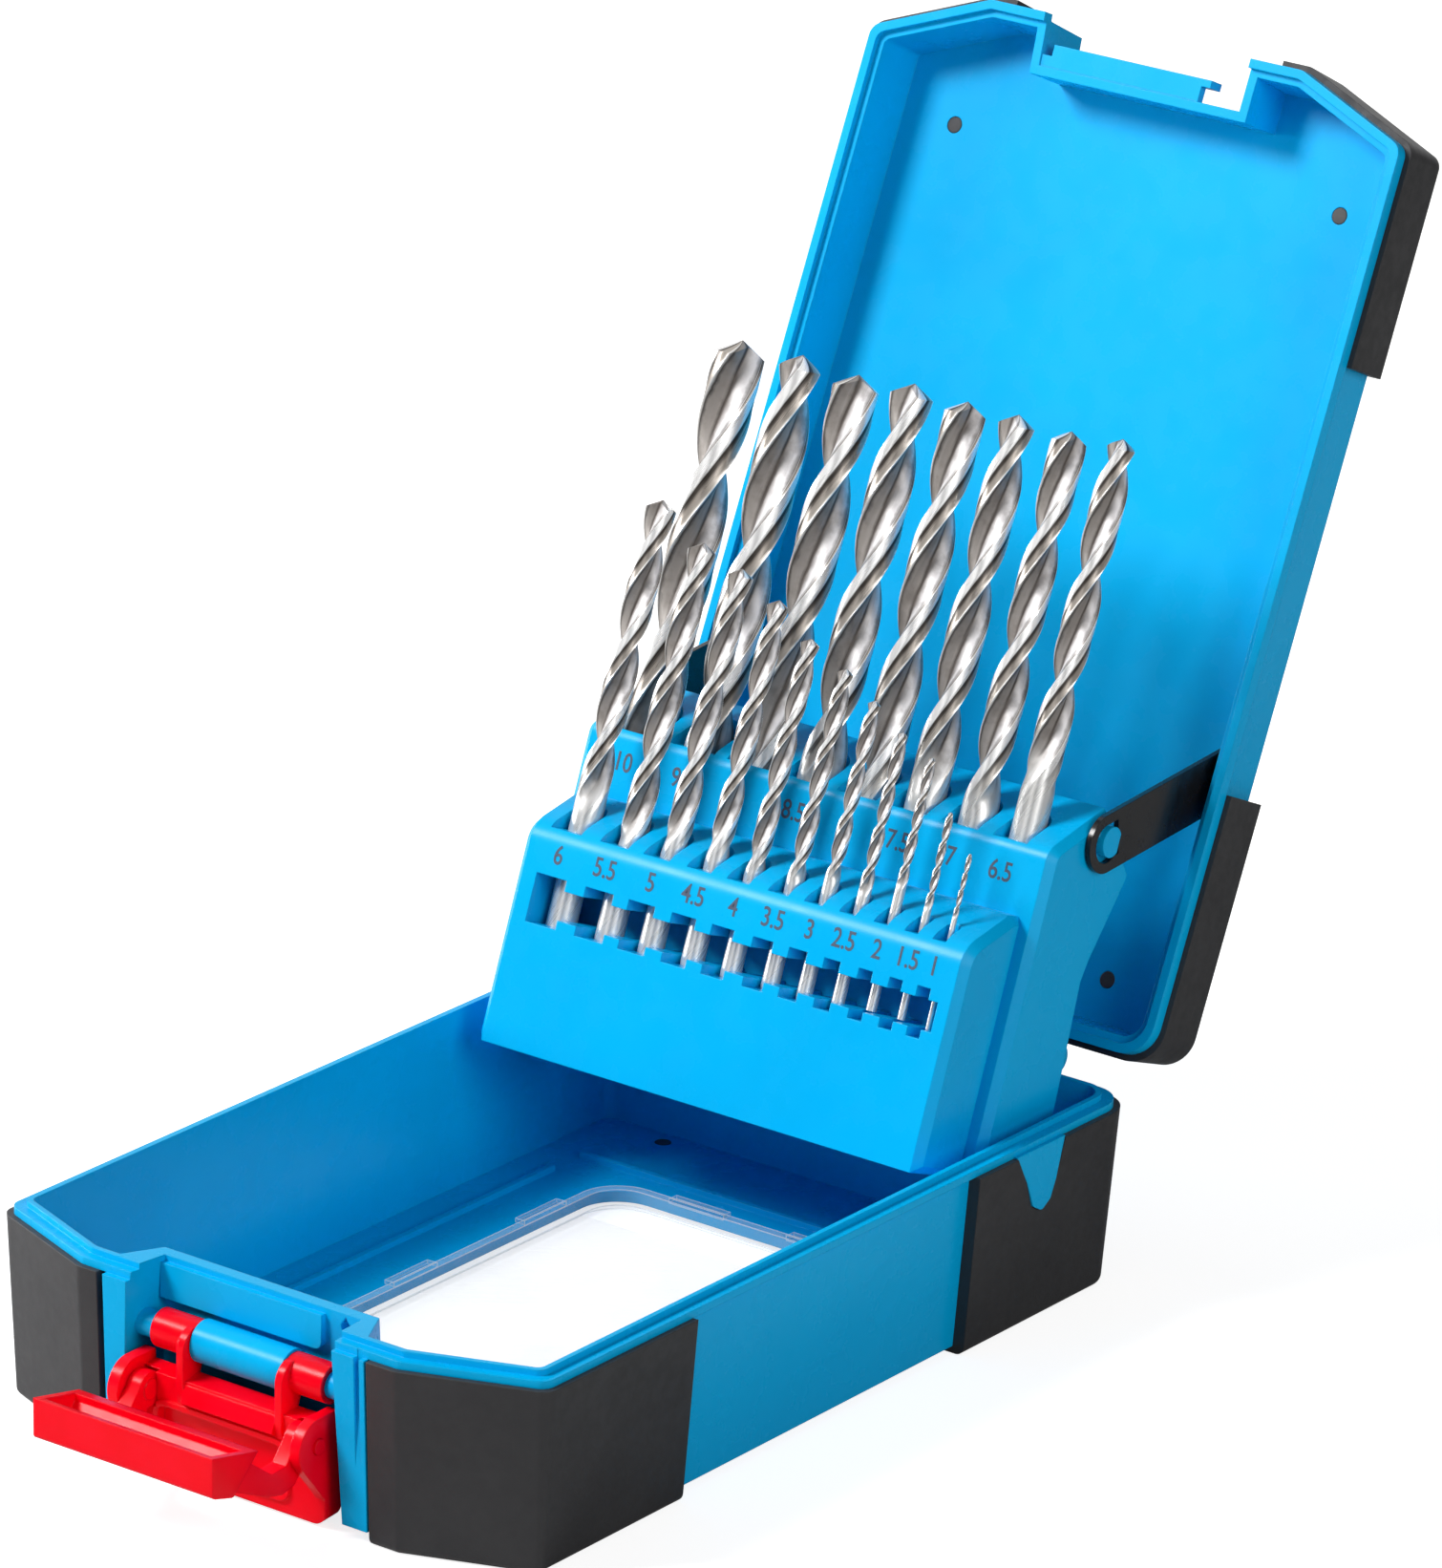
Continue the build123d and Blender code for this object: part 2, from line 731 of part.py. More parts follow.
def slots(row, lip, top, front_v):
    # Open-fronted slots at the lip, guide bores below it
    with BuildPart() as cut:
        for diameter, x, v, seat, length in row:
            half = max(diameter / 2 + slot_clearance, slot_least)
            with BuildSketch(rack_plane.offset(lip)):
                with Locations((x, (v + front_v - 2) / 2)):
                    Rectangle(2 * half, v - front_v + 2)
                with Locations((x, v)):
                    Circle(half)
            extrude(amount=top - lip)
            with BuildSketch(rack_plane.offset(seat - seat_gap)):
                with Locations((x, v)):
                    Circle(diameter / 2 + guide_gap)
            extrude(amount=lip + 1 - seat)
    return cut.part


# Front rack
with BuildPart() as front_bit_rack:
    with BuildSketch(side(rack_plane, -front_half)) as profile:
        with BuildLine():
            Polyline(*front_profile, close=True)
        make_face()
        fillet(profile.vertices().sort_by_distance(front_profile[1])[0], front_round)
    extrude(amount=2 * front_half)
    ends = front_bit_rack.faces().sort_by(Axis.X)
    chamfer(ends[0].edges() + ends[-1].edges(), rack_chamfer)
    add(slots(front_row, slot_lip_front, front_top, 0), mode=Mode.SUBTRACT)
    with BuildSketch(rack_face):
        with Locations((window_x, (window_low + window_high) / 2)):
            Rectangle(window_width, window_high - window_low)
        for diameter, x, v, seat, length in front_row:
            half = max(diameter / 2 + slot_clearance, slot_least)
            with Locations((x, (notch_low + notch_high) / 2)):
                Rectangle(2 * half, notch_high - notch_low)
    extrude(amount=-notch_depth, mode=Mode.SUBTRACT)
finish(front_bit_rack, "front_bit_rack", blue)

# Rear rack with its pivots and the pegs the links ride on
with BuildPart() as rear_bit_rack:
    with BuildSketch(side(rack_plane, -rear_half)) as profile:
        with BuildLine():
            Polyline(*rear_profile, close=True)
        make_face()
        fillet(profile.vertices().sort_by_distance(rear_profile[1])[0], rear_round)
        fillet(profile.vertices().sort_by_distance(rear_profile[-1])[0], foot_round)
    extrude(amount=2 * rear_half)
    ends = rear_bit_rack.faces().sort_by(Axis.X)
    chamfer(ends[0].edges() + ends[-1].edges(), rack_chamfer)
    add(slots(rear_row, slot_lip_rear, rear_top, rack_split), mode=Mode.SUBTRACT)
    # Cored pockets between the ribs of its back
    with BuildSketch(rack_face.offset(-core_floor)):
        with Locations((0, (core_low + core_high) / 2)):
            with GridLocations(core_pitch, 1, core_count, 1):
                Rectangle(core_width, core_high - core_low)
    extrude(amount=-core_floor, mode=Mode.SUBTRACT)
    # Pivots and pegs, each rooted inside the rack's ends
    for sign in (1, -1):
        root = side(rack_plane, sign * (rear_half - stub_root))
        with BuildSketch(root):
            with Locations((foot_v, foot_u)):
                Circle(foot_radius)
        extrude(amount=sign * stub_root)
        for radius, tip in ((shoulder_radius, shoulder_face), (pivot_radius, pivot_tip)):
            with BuildSketch(root):
                with Locations((foot_v, foot_u)):
                    Circle(radius)
            extrude(amount=sign * (tip - rear_half + stub_root))
        with BuildSketch(root):
            with Locations((peg_v, peg_u)):
                Circle(peg_radius)
            with Locations((peg_v + peg_flat + peg_radius, peg_u)):
                Rectangle(2 * peg_radius, 4 * peg_radius, mode=Mode.SUBTRACT)
        extrude(amount=sign * (peg_tip - rear_half + stub_root))
finish(rear_bit_rack, "rear_bit_rack", blue)

# Lifting links
link_frame = Plane(
    origin=(0, link_hole_y, link_hole_z),
    x_dir=(1, 0, 0),
    z_dir=(0, -sin(radians(link_slope)), cos(radians(link_slope))),
)
for label, sign in (("link_left", -1), ("link_right", 1)):
    with BuildPart() as link:
        with BuildSketch(side(link_frame, sign * link_inner)) as profile:
            with BuildLine():
                Polyline(*link_profile, close=True)
            make_face()
            Circle(link_half)
            Circle(link_hole_radius, mode=Mode.SUBTRACT)
            with Locations((link_slot_y, link_slot_z)):
                Rectangle(2 * link_slot_y, link_slot_width, mode=Mode.SUBTRACT)
        extrude(amount=sign * (link_outer - link_inner))
        with BuildSketch(side(link_frame, sign * link_inner)):
            with Locations((link_tail_x, link_tail_y)):
                Circle(trunnion_radius)
        extrude(amount=sign * (trunnion_tip - link_inner))
    finish(link, label, dark)

# Latch lever, hanging from the bar and leaning with the recess's draft
lever_left = ear_left[0]
lever_right = ear_right[1]
with BuildPart() as latch_lever:
    lever_face = Plane(
        lever_plane.from_local_coords((0, lever_back, 0)), lever_plane.x_dir, -lever_plane.y_dir
    )
    with BuildSketch(lever_face) as face:
        with Locations(((lever_left + lever_right) / 2, (lever_low + lever_high) / 2)):
            Rectangle(lever_right - lever_left, lever_high - lever_low)
        fillet(face.vertices().group_by(Axis.Y)[0], lever_corner)
    extrude(amount=lever_back - lever_front)
    # Grip pocket inside a raised border
    pocket_x = (pocket_left + pocket_right) / 2
    pocket_z = (pocket_low + pocket_high) / 2
    pocket_wide = pocket_right - pocket_left
    pocket_tall = pocket_high - pocket_low
    border_wide = pocket_wide + 2 * pocket_rim
    border_tall = pocket_tall + 2 * pocket_rim
    with BuildSketch(lever_face.offset(lever_back - lever_front)):
        with Locations((pocket_x, pocket_z)):
            RectangleRounded(border_wide, border_tall, pocket_corner + pocket_rim)
    extrude(amount=pocket_border)
    with BuildSketch(lever_face.offset(lever_back - lever_front - pocket_depth)):
        with Locations((pocket_x, pocket_z)):
            RectangleRounded(pocket_wide, pocket_tall, pocket_corner)
    extrude(amount=pocket_depth + pocket_border, mode=Mode.SUBTRACT)
    # Ledge under the bar, and the ears
    with BuildSketch(side(lever_plane, ledge_left)):
        with BuildLine():
            Polyline(*ledge, close=True)
        make_face()
    extrude(amount=ledge_right - ledge_left)
    for low_x, high_x in (ear_left, ear_right):
        with BuildSketch(side(lever_plane, low_x)):
            with BuildLine():
                Polyline(*ear, close=True)
            make_face()
            with Locations((pivot_back, pivot_drop)):
                Circle(ear_radius)
        extrude(amount=high_x - low_x)
    # Room for the catch's arms, and the bores for its pins
    for low_x, high_x in (arm_left, arm_right):
        with BuildSketch(side(lever_plane, low_x - arm_gap)):
            with Locations((pivot_back, pivot_drop)):
                Circle(arm_end_radius + arm_room)
                with Locations((-arm_end_radius, 0)):
                    Rectangle(2 * arm_end_radius, 2 * (arm_end_radius + arm_room))
        extrude(amount=high_x - low_x + 2 * arm_gap, mode=Mode.SUBTRACT)
    for low_x, high_x in (ear_left, ear_right):
        with BuildSketch(side(lever_plane, low_x)):
            with Locations((pivot_back, pivot_drop)):
                Circle(catch_pin_radius + running_gap)
        extrude(amount=high_x - low_x, mode=Mode.SUBTRACT)
    # Hooks that snap round the journals: a narrow web and an inner cheek down to the plate
    for web_low, web_high, cheek_low, cheek_high in hooks:
        with BuildSketch(side(lever_plane, web_low)):
            Circle(hook_radius)
        extrude(amount=web_high - web_low)
        with BuildSketch(side(lever_plane, cheek_low)):
            with BuildLine():
                Polyline(*cheek_leg, close=True)
            make_face()
            Circle(hook_radius)
            with Locations((cheek_y, cheek_z)):
                Circle(cheek_radius)
        extrude(amount=cheek_high - cheek_low)
        low_x = min(web_low, cheek_low)
        high_x = max(web_high, cheek_high)
        with BuildSketch(side(lever_plane, low_x)):
            Circle(journal_radius + running_gap)
            with Locations((snap_y, snap_z)):
                Rectangle(snap_length, snap_width, rotation=snap_turn)
        extrude(amount=high_x - low_x, mode=Mode.SUBTRACT)
finish(latch_lever, "latch_lever", red)

# Catch, standing out from the lever
with BuildPart() as latch_catch:
    with BuildSketch(side(Plane.XY, catch_left)) as section:
        with BuildLine():
            Polyline(*trough, close=True)
        make_face()
        fillet(section.vertices().group_by(Axis.Y)[:2], trough_fillet)
    extrude(amount=catch_right - catch_left)
    with BuildSketch(side(Plane.XY, catch_left + catch_wall)) as hollow:
        with BuildLine():
            Polyline(*trough, close=True)
        make_face()
        offset(amount=-catch_wall, kind=Kind.INTERSECTION)
        mouth = hollow.vertices().group_by(Axis.Y)[-2:]
        with BuildLine():
            Polyline(
                mouth[0][0],
                mouth[1][0],
                mouth[1][0] + Vector(0, 2 * catch_wall),
                mouth[0][0] + Vector(0, 2 * catch_wall),
                close=True,
            )
        make_face()
    extrude(amount=catch_right - catch_left - 2 * catch_wall, mode=Mode.SUBTRACT)
    for low_x, high_x in (arm_left, arm_right):
        with BuildSketch(side(Plane.XY, low_x)):
            with BuildLine():
                Polyline(*arm, close=True)
            make_face()
            with Locations((catch_y, catch_z)):
                Circle(arm_end_radius)
        extrude(amount=high_x - low_x)
    for low_x, high_x in ((ear_left[0], arm_left[0]), (arm_right[1], ear_right[1] + pin_proud)):
        with BuildSketch(side(Plane.XY, low_x)):
            with Locations((catch_y, catch_z)):
                Circle(catch_pin_radius)
        extrude(amount=high_x - low_x)
    with BuildSketch(side(Plane.XY, arm_left[1])):
        with Locations((catch_y, catch_z)):
            Circle(catch_pin_head)
    extrude(amount=head_proud)
finish(latch_catch, "latch_catch", red)

# Drill bits
point_slope = 0.6
for diameter, x, v, seat, length in front_row + rear_row:
    label = "bit_" + str(diameter).replace(".0", "").replace(".", "_") + "mm"
    radius = diameter / 2
    tip = radius * point_slope
    with BuildPart() as bit:
        with BuildSketch(side(rack_plane, x)):
            with BuildLine():
                Polyline(
                    (v, seat),
                    (v + radius, seat),
                    (v + radius, seat + length - tip),
                    (v, seat + length),
                    close=True,
                )
            make_face()
        revolve(axis=Axis(rack_plane.from_local_coords((x, v, 0)), rack_plane.z_dir))
    finish(bit, label, steel)
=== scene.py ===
import math

import bmesh
import bpy
from mathutils import Matrix, Vector


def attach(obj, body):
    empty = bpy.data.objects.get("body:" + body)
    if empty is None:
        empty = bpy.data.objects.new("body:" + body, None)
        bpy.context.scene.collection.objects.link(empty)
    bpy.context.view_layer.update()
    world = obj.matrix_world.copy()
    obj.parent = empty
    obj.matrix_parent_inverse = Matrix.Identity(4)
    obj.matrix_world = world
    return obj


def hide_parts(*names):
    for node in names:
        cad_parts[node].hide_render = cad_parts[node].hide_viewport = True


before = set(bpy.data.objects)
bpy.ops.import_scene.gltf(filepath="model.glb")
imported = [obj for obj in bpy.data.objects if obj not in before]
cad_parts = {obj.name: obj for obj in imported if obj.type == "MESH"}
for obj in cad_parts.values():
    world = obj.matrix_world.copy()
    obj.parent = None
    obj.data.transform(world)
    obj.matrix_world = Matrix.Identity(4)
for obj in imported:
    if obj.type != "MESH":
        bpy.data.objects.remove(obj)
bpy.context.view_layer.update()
print("frame loaded with", len(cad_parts), "solids")


def rgba(colour):
    return (*colour, 1.0) if isinstance(colour, tuple) else colour


class Wire:
    # a node socket that takes part in Python arithmetic
    def __init__(self, graph, socket):
        self.graph = graph
        self.socket = socket

    def op(self, operation, *others):
        return self.graph.make("ShaderNodeMath", {"operation": operation}, [self, *others])

    def flipped(self, operation, other):
        return self.graph.make("ShaderNodeMath", {"operation": operation}, [other, self])

    def __add__(self, other):
        return self.op("ADD", other)

    __radd__ = __add__

    def __mul__(self, other):
        return self.op("MULTIPLY", other)

    __rmul__ = __mul__

    def __sub__(self, other):
        return self.op("SUBTRACT", other)

    def __rsub__(self, other):
        return self.flipped("SUBTRACT", other)

    def __truediv__(self, other):
        return self.op("DIVIDE", other)

    def __rtruediv__(self, other):
        return self.flipped("DIVIDE", other)

    def __pow__(self, other):
        return self.op("POWER", other)

    def __rpow__(self, other):
        return self.flipped("POWER", other)

    def __lt__(self, other):
        return self.op("LESS_THAN", other)

    def __gt__(self, other):
        return self.op("GREATER_THAN", other)


class Graph:
    # one node tree, filled through make()
    def __init__(self, tree):
        self.tree = tree

    def make(self, kind, settings=None, inputs=None, out=0):
        node = self.tree.nodes.new(kind)
        for key, value in (settings or {}).items():
            if key == "stops":
                ramp = node.color_ramp
                while len(ramp.elements) < len(value):
                    ramp.elements.new(1.0)
                for element, (place, colour) in zip(ramp.elements, value):
                    element.position = place
                    element.color = rgba(colour)
            else:
                setattr(node, key, value)
        given = enumerate(inputs) if isinstance(inputs, list) else (inputs or {}).items()
        for key, value in given:
            socket = node.inputs[key]
            if isinstance(value, Wire):
                self.tree.links.new(value.socket, socket)
            else:
                socket.default_value = value
        return Wire(self, node.outputs[out]) if len(node.outputs) else node

    def blend(self, factor, first, second):
        # mixes two colours
        inputs = {0: factor, 6: rgba(first), 7: rgba(second)}
        return self.make("ShaderNodeMix", {"data_type": "RGBA"}, inputs, out=2)

    def ease(self, value, low, high):
        # 0 at low, 1 at high, smooth between
        inputs = {"Value": value, "From Min": low, "From Max": high}
        return self.make("ShaderNodeMapRange", {"interpolation_type": "SMOOTHSTEP"}, inputs)

    def noise(self, place, scale, detail=2.0, roughness=0.5):
        inputs = {"Vector": place, "Scale": scale, "Detail": detail, "Roughness": roughness}
        return self.make("ShaderNodeTexNoise", {"noise_dimensions": "3D"}, inputs)

    def objectPlace(self):
        return self.make("ShaderNodeTexCoord", out="Object")

    def mark(self, name, out="Fac"):
        return self.make("ShaderNodeAttribute", {"attribute_name": name}, out=out)

    def store(self, geometry, name, value, kind="FLOAT"):
        settings = {"data_type": kind, "domain": "POINT"}
        inputs = {"Geometry": geometry, "Name": name, "Value": value}
        return self.make("GeometryNodeStoreNamedAttribute", settings, inputs)


def newMaterial(name):
    material = bpy.data.materials.new(name)
    material.use_nodes = True
    material.node_tree.nodes.clear()
    return material, Graph(material.node_tree)


def closeMaterial(graph, sockets):
    shader = graph.make("ShaderNodeBsdfPrincipled", {}, sockets)
    graph.make("ShaderNodeOutputMaterial", {}, {"Surface": shader})


# Moulded plastics: colour and its slow drift, shine, fine grain, rounded edges
plasticFinishes = {
    "blueCase": {
        "colour": (0.0, 0.435, 0.82), "drift": (0.0, 0.405, 0.78), "driftScale": 22.0,
        "roughness": 0.27, "roughSpread": 0.06, "grainScale": 2600.0, "grainDepth": 0.000006,
        "edge": 0.00030, "specular": 0.11, "coat": 0.0, "sheen": 0.0, "glow": 0.0,
    },
    "darkGuard": {
        "colour": (0.016, 0.016, 0.018), "drift": (0.021, 0.021, 0.023), "driftScale": 60.0,
        "roughness": 0.54, "roughSpread": 0.12, "grainScale": 3200.0, "grainDepth": 0.00003,
        "edge": 0.00035, "specular": 0.44, "coat": 0.0, "sheen": 0.04, "glow": 0.0,
    },
    "redLatch": {
        "colour": (0.97, 0.001, 0.014), "drift": (0.93, 0.0, 0.010), "driftScale": 90.0,
        "roughness": 0.24, "roughSpread": 0.06, "grainScale": 2400.0, "grainDepth": 0.000002,
        "edge": 0.00045, "specular": 0.13, "coat": 0.0, "sheen": 0.0, "glow": 0.30,
    },
    "blackLink": {
        "colour": (0.006, 0.006, 0.007), "drift": (0.010, 0.010, 0.011), "driftScale": 90.0,
        "roughness": 0.24, "roughSpread": 0.08, "grainScale": 2400.0, "grainDepth": 0.000006,
        "edge": 0.00025, "specular": 0.30, "coat": 0.10, "sheen": 0.0, "glow": 0.0,
    },
}
plasticCommon = {
    "driftRange": (0.35, 0.65), "roughScale": 6, "roughRange": (0.3, 0.7), "grainStrength": 0.6,
    "edgeSamples": 4, "coatRoughness": 0.12, "glowRadius": (0.004, 0.0006, 0.0006),
}


def plasticMaterial(name):
    finish = plasticFinishes[name]
    material, graph = newMaterial(name)
    place = graph.objectPlace()
    drift = graph.ease(graph.noise(place, finish["driftScale"], 3.0), *plasticCommon["driftRange"])
    grain = graph.noise(place, finish["grainScale"], 2.0, 0.6)
    patches = graph.noise(place, finish["driftScale"] * plasticCommon["roughScale"], 4.0)
    rough = graph.ease(patches, *plasticCommon["roughRange"])
    rounded = graph.make(
        "ShaderNodeBevel", {"samples": plasticCommon["edgeSamples"]}, {"Radius": finish["edge"]}
    )
    bump = graph.make("ShaderNodeBump", {}, {
        "Strength": plasticCommon["grainStrength"], "Distance": finish["grainDepth"],
        "Height": grain, "Normal": rounded,
    })
    smoothest = finish["roughness"] - finish["roughSpread"] / 2
    closeMaterial(graph, {
        "Base Color": graph.blend(drift, finish["colour"], finish["drift"]),
        "Roughness": rough * finish["roughSpread"] + smoothest,
        "Normal": bump,
        "Specular IOR Level": finish["specular"],
        "Coat Weight": finish["coat"],
        "Coat Roughness": plasticCommon["coatRoughness"],
        "Sheen Weight": finish["sheen"],
        "Subsurface Weight": finish["glow"],
        "Subsurface Radius": plasticCommon["glowRadius"],
        "Subsurface Scale": 1.0,
    })
    return material


# Ground steel of the bits; the section runs over half a turn, the land first, then the flute, and its
# colour ramp paints highlights, reflections and shade in bands across the land and the flute
steelFinish = {
    # section: painted highlights, painted reflections and painted shade, as colour stops across the half
    # turn
    "section": (
        (0.00, (0.96, 0.95, 0.94)), (0.145, (0.88, 0.87, 0.86)), (0.165, (0.028, 0.022, 0.018)),
        (0.21, (0.060, 0.049, 0.041)), (0.25, (0.34, 0.300, 0.262)), (0.33, (0.42, 0.378, 0.336)),
        (0.36, (0.90, 0.88, 0.85)), (0.385, (0.024, 0.019, 0.016)), (0.42, (0.25, 0.226, 0.206)),
        (0.55, (0.31, 0.282, 0.260)), (0.63, (0.062, 0.049, 0.042)), (0.70, (0.092, 0.077, 0.068)),
        (0.79, (0.36, 0.342, 0.335)), (0.93, (0.80, 0.78, 0.79)), (0.985, (0.05, 0.042, 0.036)),
    ),
    "shank": (0.70, 0.69, 0.67), "fluteRange": (0.02, 0.25), "wanderScale": 260.0, "wander": 0.10,
    # painted shade: a darker colour laid over the flutes in noise patches
    "paintedFluteShade": (0.120, 0.098, 0.084), "paintedFluteShadeScale": 190.0, "paintedFluteShadeRange": (0.42, 0.72), "paintedFluteShadeShare": 0.55,
    "streakScale": 900.0, "streakDepth": 0.000008, "streakStrength": 0.5, "streakRoughness": 0.12,
    "brightStreak": (0.80, 0.78, 0.75), "brightRange": (0.50, 0.80), "brightShare": 0.10,
    "darkStreak": (0.12, 0.11, 0.10), "darkRange": (0.46, 0.24), "darkShare": 0.30,
    "landRoughness": 0.22, "fluteRoughness": 0.41, "landMetal": 0.50, "fluteMetal": 0.30,
}


def bitMaterial():
    finish = steelFinish
    material, graph = newMaterial("groundSteel")
    place = graph.objectPlace()
    streaks = graph.noise(graph.mark("streak", "Vector"), finish["streakScale"], 3.0, 0.65)
    paintedFluteShadePatches = graph.ease(graph.noise(place, finish["paintedFluteShadeScale"], 4.0, 0.6), *finish["paintedFluteShadeRange"])
    inFlute = graph.ease(graph.mark("fluteDepth"), *finish["fluteRange"])
    wander = graph.noise(place, finish["wanderScale"], 3.0, 0.6) * finish["wander"] - finish["wander"] / 2
    # painted highlights, painted reflections and painted shade: the colour ramp runs across the section
    section = graph.make(
        "ShaderNodeValToRGB", {"stops": finish["section"]}, [graph.mark("turn") + wander * inFlute]
    )
    colour = graph.blend(graph.mark("twisted"), finish["shank"], section)
    # painted shade: the flutes darkened in noise patches
    colour = graph.blend(paintedFluteShadePatches * inFlute * finish["paintedFluteShadeShare"], colour, finish["paintedFluteShade"])
    bright = graph.ease(streaks, *finish["brightRange"]) * finish["brightShare"]
    colour = graph.blend(bright, colour, finish["brightStreak"])
    dark = graph.ease(streaks, *finish["darkRange"]) * finish["darkShare"]
    colour = graph.blend(dark, colour, finish["darkStreak"])
    bump = graph.make("ShaderNodeBump", {}, {
        "Strength": finish["streakStrength"], "Distance": finish["streakDepth"], "Height": streaks,
    })
    roughStep = finish["fluteRoughness"] - finish["landRoughness"]
    metalStep = finish["fluteMetal"] - finish["landMetal"]
    closeMaterial(graph, {
        "Base Color": colour,
        "Metallic": inFlute * metalStep + finish["landMetal"],
        "Roughness": inFlute * roughStep + streaks * finish["streakRoughness"] + finish["landRoughness"],
        "Normal": bump,
    })
    return material


# Drawn steel of the hinge wire
wireFinish = {
    "dark": (0.5, 0.5, 0.51), "light": (0.66, 0.66, 0.67), "lineScale": 700.0,
    "stretch": (20.0, 1.0, 1.0), "roughness": 0.25, "roughSpread": 0.15,
}


def wireMaterial():
    material, graph = newMaterial("drawnWire")
    inputs = {"Vector": graph.objectPlace(), "Scale": wireFinish["stretch"]}
    lines = graph.noise(graph.make("ShaderNodeMapping", {}, inputs), wireFinish["lineScale"])
    closeMaterial(graph, {
        "Base Color": graph.blend(lines, wireFinish["dark"], wireFinish["light"]),
        "Metallic": 1.0,
        "Roughness": lines * wireFinish["roughSpread"] + wireFinish["roughness"],
    })
    return material


# Clear window: almost unseen face on, with a painted highlight along its edges and a painted reflection at
# a glancing look, both as white cover
clearFinish = {
    "colour": (0.96, 0.985, 1.0), "body": 0.035, "specular": 0.6, "roughness": 0.05,
    "haze": 0.05, "hazeScale": 45.0, "hazeRange": (0.45, 0.8), "hazeRoughness": 0.08,
    # the edge cover is a painted highlight and the glancing cover a painted reflection
    "rim": 0.62, "rimWidth": 0.00045, "rimSamples": 6, "rimRange": (0.995, 0.90),
    "paintedGlanceReflection": 0.28, "glanceBlend": 0.25,
}


def clearMaterial():
    finish = clearFinish
    material, graph = newMaterial("clearWindow")
    haze = graph.ease(graph.noise(graph.objectPlace(), finish["hazeScale"], 4.0), *finish["hazeRange"])
    face = graph.make("ShaderNodeNewGeometry", out="Normal")
    rounded = graph.make(
        "ShaderNodeBevel", {"samples": finish["rimSamples"]}, {"Radius": finish["rimWidth"]}
    )
    match = graph.make(
        "ShaderNodeVectorMath", {"operation": "DOT_PRODUCT"}, [face, rounded], out="Value"
    )
    # painted highlight: white cover where the face turns at the pane's edges
    rim = graph.ease(match, *finish["rimRange"])
    # painted reflection: white cover that rises at a glancing look
    paintedGlanceReflection = graph.make("ShaderNodeLayerWeight", {}, {"Blend": finish["glanceBlend"]}, out="Facing")
    cover = haze * finish["haze"] + finish["body"] + paintedGlanceReflection * finish["paintedGlanceReflection"]
    closeMaterial(graph, {
        "Base Color": rgba(finish["colour"]),
        "Alpha": (cover + rim * finish["rim"]).op("MINIMUM", 1.0),
        "Roughness": haze * finish["hazeRoughness"] + finish["roughness"],
        "Specular IOR Level": finish["specular"],
    })
    return material


# Printed ink of the size figures
inkFinish = {
    "dark": (0.03, 0.05, 0.09), "light": (0.07, 0.10, 0.16), "patchScale": 1500.0,
    "roughness": 0.4, "roughSpread": 0.2,
}


def inkMaterial():
    material, graph = newMaterial("printedInk")
    patch = graph.noise(graph.objectPlace(), inkFinish["patchScale"], 3.0)
    closeMaterial(graph, {
        "Base Color": graph.blend(patch, inkFinish["dark"], inkFinish["light"]),
        "Roughness": patch * inkFinish["roughSpread"] + inkFinish["roughness"],
    })
    return material


finishes = {name: plasticMaterial(name) for name in plasticFinishes}
finishes["groundSteel"] = bitMaterial()
finishes["drawnWire"] = wireMaterial()
finishes["clearWindow"] = clearMaterial()
finishes["printedInk"] = inkMaterial()
print("finishes made:", len(finishes))


def placed(name, data):
    # a new object at the origin, linked to the scene
    thing = bpy.data.objects.new(name, data)
    bpy.context.scene.collection.objects.link(thing)
    return thing


def bakedMesh(host):
    # the host's evaluated shape as a plain mesh; the host goes
    mesh = bpy.data.meshes.new_from_object(host.evaluated_get(bpy.context.evaluated_depsgraph_get()))
    bpy.data.objects.remove(host)
    return mesh


def weldMesh(mesh, gap, turnOut=False):
    work = bmesh.new()
    work.from_mesh(mesh)
    bmesh.ops.remove_doubles(work, verts=work.verts, dist=gap)
    if turnOut:
        bmesh.ops.recalc_face_normals(work, faces=work.faces)
    work.to_mesh(mesh)
    work.free()


def smoothMesh(mesh, creaseAngle):
    mesh.shade_smooth()
    mesh.set_sharp_from_angle(angle=math.radians(creaseAngle))


def meshPiece(name, mesh, material, body, slot, *nodes):
    piece = placed(name, mesh)
    mesh.materials.clear()
    mesh.materials.append(finishes[material])
    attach(piece, body)
    if nodes:
        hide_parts(*nodes)


# The case's own pieces: which solid gets which name, finish, body and slot
caseMesh = {"weldGap": 2e-6, "creaseAngle": 32.0}
dressing = {
    "base_tray": ("trayShell", "blueCase", "tray", "blue_plastic"),
    "window_panel": ("windowPane", "clearWindow", "tray", "clear_plastic"),
    "hinge_pin": ("hingeWire", "drawnWire", "tray", "pin_steel"),
    "lid_shell": ("lidShell", "blueCase", "lid", "blue_plastic"),
    "front_bit_rack": ("frontRack", "blueCase", "rack", "blue_plastic"),
    "rear_bit_rack": ("rearRack", "blueCase", "rack", "blue_plastic"),
    "link_left": ("liftLinkLeft", "blackLink", "link_left_arm", "black_plastic"),
    "link_right": ("liftLinkRight", "blackLink", "link_right_arm", "black_plastic"),
    "latch_lever": ("latchLever", "redLatch", "lever", "red_plastic"),
    "latch_catch": ("latchCatch", "redLatch", "catch", "red_plastic"),
}
for end in ("front", "rear"):
    for hand in ("left", "right"):
        for half in ("tray", "lid"):
            dressing[f"{half}_guard_{end}_{hand}"] = (
                f"{half}Guard{end.title()}{hand.title()}", "darkGuard", half, "dark_plastic"
            )


